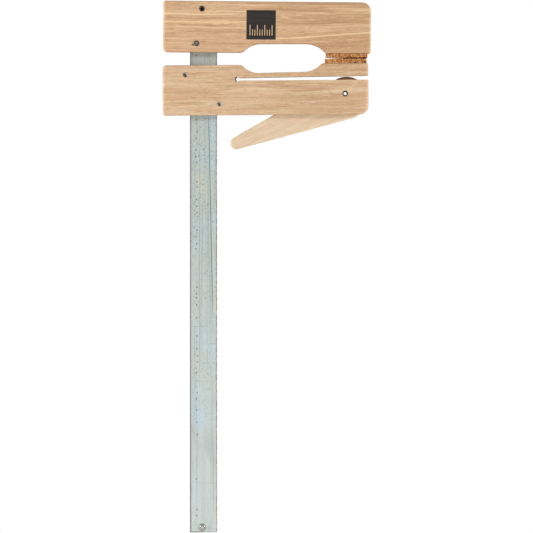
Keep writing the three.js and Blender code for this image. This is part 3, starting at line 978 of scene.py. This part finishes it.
def make_pad(name, node, layout_matrix, centre, bottom, top, crown, body):
    """A cork strip, its free face uneven and crowned a little where it has been pressed. A per-point weight
    holds painted shade in the gap between the two pads, and a little wear across the free face.
    """
    steps = {"x": 62, "y": 50, "z": 6}
    bm = bmesh.new()
    shade_and_wear_weight = bm.verts.layers.float.new("shade_and_wear_weight")
    grid = {}
    for i in range(steps["x"] + 1):
        for j in range(steps["y"] + 1):
            for k in range(steps["z"] + 1):
                if 0 < i < steps["x"] and 0 < j < steps["y"] and 0 < k < steps["z"]:
                    continue
                u, v, w = i / steps["x"], j / steps["y"], k / steps["z"]
                point = Vector((centre + (u - 0.5) * PAD_LENGTH, (v - 0.5) * (JAW_THICKNESS - PAD_SIDE_GAP),
                                bottom + w * (top - bottom)))
                vertex = bm.verts.new(cork_point(point, u, v, w, crown))
                # The weight below is painted shade in the gap between the pads, full at the free face's
                # front and back rims near the touching end, and a little wear across the rest of the free
                # face.
                free = w if crown > 0 else 1 - w
                rim = max(0.0, 1 - 20 * min(v, 1 - v))
                outer = min(1.0, max(0.0, (u - 0.4) * 14))
                vertex[shade_and_wear_weight] = max(0.0, free * 6 - 5) * outer * (0.12 + 0.88 * rim)
                grid[i, j, k] = vertex
    for key in list(grid):
        for axis in range(3):
            a, b = [n for n in range(3) if n != axis]
            corners = []
            for da, db in ((0, 0), (1, 0), (1, 1), (0, 1)):
                other = list(key)
                other[a] += da
                other[b] += db
                corners.append(tuple(other))
            side = key[axis] in (0, steps["xyz"[axis]])
            if side and all(c in grid for c in corners):
                bm.faces.new([grid[c] for c in corners])
    pad = mesh_object(name, bm)
    remember(pad, "cork_place")
    pad.data.transform(layout_matrix)
    smooth(pad, 50)
    finish_piece(pad, cork, body, [node])


def cork_point(point, u, v, w, crown):
    grains = noise.noise(point * 900) * 0.10 * MM + noise.noise(point * 2300) * 0.05 * MM
    moved = point.copy()
    if u in (0, 1):
        moved.x += (1 if u else -1) * (grains - 0.12 * MM)
    if v in (0, 1):
        moved.y += (1 if v else -1) * (grains - 0.12 * MM)
    hill = math.sin(math.pi * min(1.0, u / 0.9)) if u < 0.9 else 0.0
    free = w if crown > 0 else 1 - w
    moved.z += free * (crown * hill + math.copysign(1, crown) * (grains - 0.05 * MM))
    return moved


def make_end_stop():
    low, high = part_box("end_stop")
    centre = (low + high) / 2
    head, dome, shank = (high.x - low.x) / 2, 1.4 * MM, 1.5 * MM
    seat = (high.y - low.y) / 2 - dome
    profile = [(0.0, seat + dome)]
    steps = 12
    for i in range(1, steps + 1):
        angle = math.pi / 2 * i / steps
        profile.append((head * math.sin(angle) ** 0.9, seat + dome * math.cos(angle) ** 1.15))
    profile += [(head - 0.1 * MM, seat - 0.12 * MM), (shank, seat - 0.12 * MM)]
    profile += [(r, -y) for r, y in reversed(profile)]
    bm = bmesh.new()
    sides = 40
    rings = []
    for radius, y in profile:
        if radius < 1e-7:
            rings.append([bm.verts.new((centre.x, centre.y + y, centre.z))])
        else:
            rim = circle((centre.x, centre.z), radius, sides)
            rings.append([bm.verts.new((x, centre.y + y, z)) for x, z in rim])
    for a, b in zip(rings, rings[1:]):
        for i in range(sides):
            j = (i + 1) % sides
            if len(a) == 1:
                bm.faces.new((a[0], b[j], b[i]))
            elif len(b) == 1:
                bm.faces.new((a[i], a[j], b[0]))
            else:
                bm.faces.new((a[i], a[j], b[j], b[i]))
    stud = mesh_object("end_stop_stud", bm)
    smooth(stud, 40)
    finish_piece(stud, stud_zinc, "fixed_arm", ["end_stop"])


def make_rail():
    """The flat bar with its slightly rounded long edges and one clipped lower corner."""
    half = (rail_high.x - rail_low.x) / 2
    low, high = rail_low.z, rail_high.z
    radii = [radius * MM for radius in RAIL_CORNERS]

    def outline(inset):
        points = corner(-half, low, (1, 1), radii[0], inset, math.pi)
        points += corner(half, low, (-1, 1), radii[1], inset, 1.5 * math.pi)
        points += corner(half, high, (-1, -1), radii[2], inset, 0)
        points += corner(-half, high, (1, -1), radii[3], inset, 0.5 * math.pi)
        return [(x + RAIL_X, z) for x, z in points]

    thickness = rail_high.y - rail_low.y
    bar = round_plate("rail_bar", outline, thickness, 0.45 * MM, 4)
    matrix = fixed_layout.matrix()
    cutters = []
    for name in FIXED_PINS:
        at = pin_place(name)
        place = matrix @ Vector((at[0], 0, at[1]))
        cutters.append(hole_cutter((place.x, place.z), RAIL_HOLE_RADIUS["pin"], thickness, 0.2 * MM))
    stop_low, stop_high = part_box("end_stop")
    stop = (stop_low + stop_high) / 2
    cutters.append(hole_cutter((stop.x, stop.z), RAIL_HOLE_RADIUS["stud"], thickness, 0.1 * MM))
    cut(bar, *cutters)
    smooth(bar)
    finish_piece(bar, zinc, "fixed_arm", ["rail"])


make_rail()
make_end_stop()
make_fixed_jaw()
make_sliding_jaw()
make_tongue()
make_lever()
for pin_name in FIXED_PINS:
    make_pin(pin_name, fixed_layout, "fixed_arm")
for pin_name in SLIDING_PINS:
    make_pin(pin_name, sliding_layout, "jam_pin" if pin_name == "jam_pin_front" else "sliding_jaw")

tongue_matrix = (
    sliding_layout.matrix()
    @ Matrix.Translation((kerf_local.x, 0, kerf_local.y))
    @ Matrix.Rotation(-TONGUE_SET, 4, "Y")
    @ Matrix.Translation((-kerf_local.x, 0, -kerf_local.y))
)
make_pad("fixed_pad_cork", "fixed_jaw_pad", fixed_layout.matrix(), FIXED_PAD_X,
         -PAD_FACE_DROP, 0, -PAD_CROWN, "fixed_arm")
make_pad("sliding_pad_cork", "sliding_jaw_pad", tongue_matrix, SLIDING_PAD_X,
         SLIDING_JAW["height"], SLIDING_JAW["height"] + SLIDING_PAD_HEIGHT, PAD_CROWN, "tongue")


# ---------------------------------------------------------------- studio
FLOOR_DROP = 0.12
FLOOR_RADIUS = 1.35
AMBIENT = 0.26
MIDDLE = (CAD_BOX[0] + CAD_BOX[1]) / 2
# Each light's place from the clamp's middle and its size, in metres, and its power in watts.
LIGHTS = {
    "key": ((-0.25, -1.9, 0.95), (1.1, 0.55), 12.1),
    "front_fill": ((0.1, -1.8, -0.05), (1.4, 0.4), 2.2),
    "left": ((-1.5, -0.2, 0.3), (0.6, 0.8), 17),
    "right": ((1.5, -0.2, 0.3), (0.6, 0.8), 17),
    "under": ((0, -0.75, CAD_BOX[0].z - 0.5 * FLOOR_DROP - MIDDLE.z), (1.2, 0.4), 1.7),
    "back": ((0.5, 1.8, 1.1), (1.2, 0.8), 16),
}
SENSOR_WIDTH = 36
LENS = 1100
FRAME_MARGIN = 533 / 532.1  # the view's height over the clamp's
VIEW_SHIFT = 0.15 * MM
CLIP_NEAR, CLIP_FAR = 0.1, 100


def make_floor():
    bm = bmesh.new()
    bmesh.ops.create_circle(bm, cap_ends=True, segments=128, radius=FLOOR_RADIUS)
    floor = mesh_object("studio_floor", bm)
    floor.location = (MIDDLE.x, 0, CAD_BOX[0].z - FLOOR_DROP)
    s = Shader("pale_floor")
    x, y, _ = s.split(s.object_place())
    faded = s.ramp(s.distance(x, y), 0.2 * FLOOR_RADIUS, FLOOR_RADIUS, 1.0, 0.0)
    s.set(Base_Color=srgb(250, 250, 249), Alpha=faded)
    s.surface.inputs["Roughness"].default_value = 0.85
    floor.data.materials.append(s.material)


def make_world():
    world = bpy.data.worlds.new("studio")
    bpy.context.scene.world = world
    world.use_nodes = True
    tree = world.node_tree
    tree.nodes.clear()
    output = tree.nodes.new("ShaderNodeOutputWorld")
    mixer = tree.nodes.new("ShaderNodeMixShader")
    path = tree.nodes.new("ShaderNodeLightPath")
    ambient = tree.nodes.new("ShaderNodeBackground")
    ambient.inputs["Strength"].default_value = AMBIENT
    backdrop = tree.nodes.new("ShaderNodeBackground")
    backdrop.inputs["Color"].default_value = (1, 1, 1, 1)
    tree.links.new(path.outputs["Is Camera Ray"], mixer.inputs[0])
    tree.links.new(ambient.outputs[0], mixer.inputs[1])
    tree.links.new(backdrop.outputs[0], mixer.inputs[2])
    tree.links.new(mixer.outputs[0], output.inputs["Surface"])
    ambient.inputs["Color"].default_value = (1, 1, 1, 1)


def make_lights():
    for name, (offset, size, power) in LIGHTS.items():
        light = bpy.data.lights.new(name, "AREA")
        light.shape = "RECTANGLE"
        light.size, light.size_y = size
        light.energy = power
        obj = bpy.data.objects.new(name, light)
        bpy.context.scene.collection.objects.link(obj)
        obj.location = MIDDLE + Vector(offset)
        obj.rotation_euler = (-Vector(offset)).to_track_quat("-Z", "Y").to_euler()
        obj.visible_camera = False


def make_camera():
    """A very long lens straight in front, framing the clamp's full height."""
    camera = bpy.data.cameras.new("camera")
    camera.sensor_width = SENSOR_WIDTH
    camera.lens = LENS
    camera.clip_start, camera.clip_end = CLIP_NEAR, CLIP_FAR
    frame_height = (CAD_BOX[1].z - CAD_BOX[0].z) * FRAME_MARGIN
    distance = frame_height * LENS / SENSOR_WIDTH
    obj = bpy.data.objects.new("camera", camera)
    bpy.context.scene.collection.objects.link(obj)
    obj.location = (MIDDLE.x - VIEW_SHIFT, CAD_BOX[0].y - distance, MIDDLE.z)
    obj.rotation_euler = (math.pi / 2, 0, 0)
    bpy.context.scene.camera = obj


make_floor()
make_world()
make_lights()
make_camera()
bpy.context.scene.view_settings.view_transform = "Standard"
